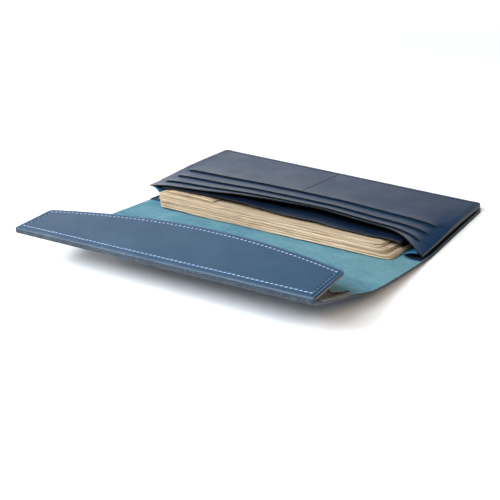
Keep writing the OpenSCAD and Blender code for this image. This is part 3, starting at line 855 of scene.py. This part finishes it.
def body_gusset(side, label):
    """The gusset at one end of the note compartment. The right one sticks out a little."""
    edge_x, gap = HALF - 3.0, 0.28
    stations = []
    for y in ([-1.3, -0.6] if side > 0 else []) + list(spaced(0.2, DEPTH - 8, 3.0)):
        low = float(rise(side * edge_x, -y)) + OUTER_T + gap
        high = float(backing_z(side * edge_x, y)) - gap
        stations.append((y, low, high, 1.0))
    # the inside of the V is the near-black painted shade
    return folded_gusset(f"body_gusset_leather_{label}", side, stations, edge_x, edge_x - 8,
                         [M_BLUE, M_HOLLOW_SHADE, M_BLUE], thick=0.6, mid_share=0.42, flange=3.0)


for side, label in ((-1, "left"), (1, "right")):
    g = strip_gusset(side, label)
    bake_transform(g)
    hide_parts(f"strip_gusset_{label}")

    tack = gusset_tack(side, label)
    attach(tack, "flap")
    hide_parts(f"gusset_tack_{label}")

    line = gusset_seam_and_shadow(side, label)
    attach(line, "flap")

    g = body_gusset(side, label)
    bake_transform(g)
    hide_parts(f"body_gusset_{label}")


# ---- Body: welt, divider and card panel ----

def rear_welt():
    """Closes the note compartment along the sewn edge."""
    x, y = grid(spaced(-HALF + 0.3, HALF - 0.3, 6), spaced(DEPTH - 7, DEPTH - 0.5, 1.3))
    return sheet("rear_welt_leather", at(x, y, divider_z(x, y) - 0.05), at(x, y, OUTER_T + 0.03),
                 [M_OUTSIDE, M_OUTSIDE, M_EDGE_PANEL], (0.2, 0.2, 0.1, 0.2))


welt = rear_welt()
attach(welt, "body")
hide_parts("rear_welt")


def divider_leather():
    ys = np.concatenate([spaced(-1.8, 6, 0.6), spaced(8, DEPTH - 0.3, 3)])
    x, y = grid(spaced(-DIVIDER_HALF + 0.2, DIVIDER_HALF - 0.2, 1.6), ys)
    waves = 0.15 * np.sin(x * 0.09) + 0.1 * np.sin(x * 0.23 + 1)
    z = divider_z(x, y) + waves * np.exp(-np.clip(y, 0, None) / 10)
    return sheet("divider_leather", at(x, y, z + 0.7), at(x, y, z), [M_DIVIDER, M_DIVIDER, M_EDGE_PANEL],
                 (0.2, 0.2, 0.25, 0.2))


divider = divider_leather()
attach(divider, "divider")
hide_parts("divider")


def in_order(values):
    return np.array(sorted({round(float(v), 3) for v in values}))


def panel_rows(mouth):
    """Depths from a mouth to the sewn edge, closer together at every mouth."""
    rows = [mouth + d for d in (0, 0.3, 0.6, 1.0, 1.5, 2.0, 2.7, 3.5, 4.5)]
    rows += list(spaced(rows[-1] + 1.2, DEPTH - 0.3, 1.6))
    rows += [m + d for m in MOUTHS[1:] for d in (-0.6, 0, 0.6, 1.4)]
    return in_order(v for v in rows if mouth <= v <= DEPTH - 0.3)


def panel_cols(a, b):
    """Columns from a to b, closer together at both ends."""
    ends = [0, 0.4, 0.8, 1.2, 1.6, 2.1, 2.8, 3.6, 4.4, 5.2, 6.0, 6.8, 7.6, 8.4, 9.4]
    return in_order([a + e for e in ends] + [b - e for e in ends] + list(spaced(a + 10.5, b - 10.5, 1.6)))


def panel_piece(name, a, b, k, rims):
    """Layer k between two columns; the panel's corners are slightly rounded, and a line is
    pressed in along its edge and along each pocket's mouth."""
    front, sewn = MOUTHS[k], DEPTH - 0.3
    x, y = grid(panel_cols(a, b), panel_rows(front))
    y = front + (y - front) * (sewn - corner(x, HALF, 2.5) - front) / (sewn - front)
    if k == 0:
        y = y + corner(x, HALF, 2.0) * np.clip(1 - y / 12, 0, 1)
    top = panel_z(x, y, k)
    d = np.minimum(HALF - np.abs(x), DEPTH - y)
    top = top - 0.10 * np.exp(-((d - 1.4) / 0.35) ** 2) * (d < 6)
    if k:
        line = np.exp(-((y - front - 1.3) / 0.3) ** 2)
        top = top - 0.08 * line * smooth((HALF - np.abs(x) - 5) / 4)
    low = panel_z(x, y, k) - 0.6 if k else backing_z(x, y)
    return sheet(name, at(x, y, top), at(x, y, low), [M_PANEL, M_PANEL, M_EDGE_PANEL], rims)


back = panel_piece("card_backing_leather", -HALF + 0.25, HALF - 0.25, 0, (0.25, 0.25, 0.3, 0.2))
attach(back, "card_panel")
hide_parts("card_backing")
for label, a, b in (("left", -HALF + 0.2, SEAM_X), ("right", SEAM_X, HALF - 0.2)):
    for k in (1, 2, 3):
        # the groove between the columns shows in the uppermost pockets only
        seam = 0.38 if k == 3 else 0.0
        span, ends = ((a, b - seam), (0.2, seam)) if label == "left" else ((a + seam, b), (seam, 0.2))
        piece = panel_piece(f"card_pocket_leather_{label}_{4 - k}", *span, k, (*ends, 0.22, 0.18))
        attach(piece, "card_panel")
        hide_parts(f"card_pocket_{label}_{4 - k}")


def panel_top(x, y):
    return panel_z(x, y, 3)


def panel_run(x0, y0, x1, y1):
    """A straight run of stitches in the uppermost layer."""
    x, y = np.linspace(x0, x1, 160), np.linspace(y0, y1, 160)
    pts = even(at(x, y, panel_top(x, y) - 0.04), PITCH + 0.3)
    return stitch_row(pts, normals_on(panel_top, pts), slant=0.2, long=1.8, r=0.22, high=0.22)


seam_threads, seam_holes = panel_run(SEAM_X, 40, SEAM_X, DEPTH - 5)
side_x, sewn_y = HALF - BORDER, DEPTH - BORDER
edge_threads, edge_holes = [], []
for run in ((-side_x, sewn_y, side_x, sewn_y), (-side_x, 41, -side_x, sewn_y - 3),
            (side_x, 41, side_x, sewn_y - 3)):
    new_threads, new_holes = panel_run(*run)
    edge_threads += new_threads
    edge_holes += new_holes
for name, threads, node in (("centre_seam_thread", seam_threads, "centre_seam_stitching"),
                            ("panel_edge_thread", edge_threads, "panel_edge_stitching")):
    obj = make(name, *gather(threads), [M_NAVY_THREAD])
    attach(obj, "card_panel")
    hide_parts(node)
obj = make("panel_awl_holes", *gather(seam_holes + edge_holes), [M_HOLE], sharp=30)
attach(obj, "card_panel")


# ---- Notes ----

def stack_z(x, depth, share):
    """Height in the stack of notes, share being 0 at its underside and 1 at its top. It gets
    thinner with depth, and lower to the right."""
    depths = [0, 32, NOTES_DEEP]
    left, right = np.interp(depth, depths, [13.6, 9, 5.4]), np.interp(depth, depths, [12.6, 6.8, 3.7])
    top = left + (right - left) * (x + 88) / 172
    low = np.interp(depth, depths, [5.3, 2.5, 1.8])
    return low + (top - low) * share


def notes(number):
    """The leaves of a bundle, as pairs of their tops and undersides. Each is a little shorter
    than the bundle, with worn front corners and a wavy front edge."""
    left, right = -81 - 2 * (number - 1), 84 - 4 * (number - 1)
    leaves = []
    for leaf in range(LEAVES):
        a = left + 0.3 + rng.uniform(0, 1.6)
        b = right - 0.3 - rng.uniform(0, 2.6)
        front = rng.uniform(0.1, 1.8)
        xs = np.concatenate([a + np.array([0, 0.2, 0.5, 0.9, 1.5, 2.4]), spaced(a + 4.5, b - 5.0, 2.6),
                             b - np.array([3.6, 2.6, 1.8, 1.1, 0.6, 0.3, 0.1, 0])])
        ys = np.concatenate([[0, 0.8, 2, 4, 7, 11], spaced(16, 74, 6)])
        x, y = grid(xs, ys + front)
        end = np.clip(1 - np.minimum((x - a) / 2.4, (b - x) / 5.0), 0, 1)
        worn = (2.4 + 2.6 * (x > 0)) * (1 - np.sqrt(1 - end ** 2))
        y = y + worn * np.clip(1 - (y - front) / 16, 0, 1)
        p, q, r = rng.uniform(0, 6.28, 3)
        wave = 0.5 * np.sin(x * 0.045 + p) + 0.3 * np.sin(x * 0.11 + q) + 0.1 * np.sin(x * 0.31 + r)
        y = y + wave * np.clip(1 - (y - front) / 12, 0, 1)
        y = np.clip(y, 0.02, NOTES_DEEP - 0.1)
        ripple = 0.05 * np.sin(x * 0.13 + r) + 0.04 * np.sin(x * 0.37 + p)
        droop = 0.105 * np.exp(-y / 3.0) * (leaf / LEAVES - 0.5)
        low, top = (stack_z(x, y, (number - 1 + (leaf + t) / LEAVES) / BUNDLES) + 0.03 + ripple - droop
                    for t in (0.07, 0.93))
        place = y + NOTES_FROM + 1.75 * (number - 1) * (1 + smooth(y / 20))
        leaves.append((at(x, place, top), at(x, place, low)))
    return leaves


for number in range(1, BUNDLES + 1):
    for k, (top, low) in enumerate(notes(number)):
        leaf = sheet(f"note_{number}_{k + 1}", top, low, [M_PAPER], (0.1, 0.1, 0.1, 0.1), 2)
        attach(leaf, "body")
        if k == 0:
            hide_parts(f"note_bundle_{number}")


def slip(k):
    """One of the folded slips that lie on the notes at their left end."""
    ys = np.concatenate([[0, 1, 2.5, 5], spaced(9, 30, 5)])
    x, y = grid(spaced(-78 + k * 0.7, -43 - 1.6 * k, 2), ys)
    y = y + 0.4 * k + 0.25 * np.sin(x * 0.2 + k)
    z = stack_z(x, y, 1.0) + 0.1 + 0.3 * k - 0.5 * smooth((x + 55) / 12) * (k / 3)
    y = y + NOTES_FROM + 8
    return sheet(f"slip_{k + 1}", at(x, y, z + 0.26), at(x, y, z), [M_PAPER], (0.08,) * 4, 2)


for k in range(3):
    piece = slip(k)
    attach(piece, "body")
    if k == 0:
        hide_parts("paper_slip")


# ---- Floor, lights and camera ----

def white_floor(half=4, nearer=0.35, farther=1.15):
    """A white floor which also shines far from the lights, so that every side has a pale
    background; the shine grows from the nearer to the farther of the two distances."""
    mesh = bpy.data.meshes.new("floor")
    corners = [(-half, -half, 0), (half, -half, 0), (half, half, 0), (-half, half, 0)]
    mesh.from_pydata(corners, [], [(0, 1, 2, 3)])
    mat = bpy.data.materials.new("floor_white")
    mat.use_nodes = True
    mesh.materials.append(mat)
    nodes = Nodes(mat.node_tree)
    spot = nodes.node("ShaderNodeNewGeometry").outputs["Position"]
    reach = nodes.node("ShaderNodeVectorMath", {0: spot}, operation="LENGTH").outputs["Value"]
    glow = nodes.rescale(reach, nearer, farther, 0.0, 1.0)
    nodes.put(mat.node_tree.nodes["Principled BSDF"], {
        "Base Color": (0.97, 0.97, 0.97, 1), "Roughness": 0.9, "Specular IOR Level": 0.1,
        "Emission Color": (1, 1, 1, 1), "Emission Strength": glow})
    return add("floor", mesh)


floor = white_floor()


def sky(toward=(-0.84, 0.53, 0.10), dim=0.03, bright=1.8, band=(0.14, 0.30)):
    """A dim sky, bright towards the rear left, whose light the card panel reflects, and white
    at the horizon, fading out between the two heights of the band."""
    world = bpy.data.worlds.new("world")
    world.use_nodes = True
    nodes = Nodes(world.node_tree)
    way = nodes.node("ShaderNodeTexCoord").outputs["Generated"]
    facing = nodes.node("ShaderNodeVectorMath", {0: way, 1: toward}, operation="DOT_PRODUCT")
    height = nodes.node("ShaderNodeSeparateXYZ", {0: way}).outputs["Z"]
    levels = {0: nodes.rescale(facing.outputs["Value"], 0.70, 1.0, dim, bright),
              1: nodes.rescale(height, *band, 1.0, 0.0)}
    strength = nodes.node("ShaderNodeMath", levels, operation="MAXIMUM").outputs[0]
    nodes.put(world.node_tree.nodes["Background"], {"Color": (0.95, 0.97, 1.0, 1), "Strength": strength})
    return world


scene = bpy.context.scene
scene.world = sky()


def area(name, azimuth, elevation, level, color, size=(0.7, 0.6), far=1.6):
    """A soft light whose level is what a white floor under it would show. It points at the
    middle of the wallet, from azimuth degrees to the right of its front."""
    a, e = math.radians(azimuth), math.radians(elevation)
    middle = Vector((0, -0.06, 0))
    place = middle + far * Vector((math.cos(e) * math.sin(a), -math.cos(e) * math.cos(a), math.sin(e)))
    target = middle + Vector((0, 0, 0.01))
    light = bpy.data.lights.new(name, "AREA")
    light.shape = "RECTANGLE"
    light.size, light.size_y = size
    light.energy = level * (math.pi * far) ** 2 / math.sin(e)
    light.color = color
    obj = add(name, light)
    obj.location = place
    obj.rotation_euler = (target - place).to_track_quat("-Z", "Y").to_euler()


area("front_left", -20, 43, 0.71, (0.89, 0.95, 1.0))
area("front", 10, 43, 0.64, (0.90, 0.95, 1.0))
area("right", 55, 40, 0.26, (1.0, 0.84, 0.68), size=(0.7, 0.5))
area("left", -55, 20, 0.12, (1.0, 1.0, 1.0), size=(0.6, 0.35))

scene.view_settings.view_transform = "Standard"
scene.view_settings.look = "None"
scene.view_settings.exposure = 0.0
scene.view_settings.gamma = 1.0


def camera(place, yaw, pitch, roll, lens=72):
    """A camera that looks yaw degrees to the left of the wallet's rear and pitch degrees down,
    turned by roll degrees about its own axis."""
    data = bpy.data.cameras.new("camera")
    data.sensor_width = 36
    data.lens = lens
    data.clip_start = 0.01
    obj = add("camera", data)
    turns = ((yaw, "Z"), (90 - pitch, "X"), (roll, "Z"))
    about_z, about_x, about_own = (Matrix.Rotation(math.radians(t), 4, axis) for t, axis in turns)
    obj.matrix_world = Matrix.Translation(place) @ about_z @ about_x @ about_own
    return obj


scene.camera = camera((0.297616, -0.523404, 0.253697), yaw=33.56, pitch=25.23, roll=-1.84)
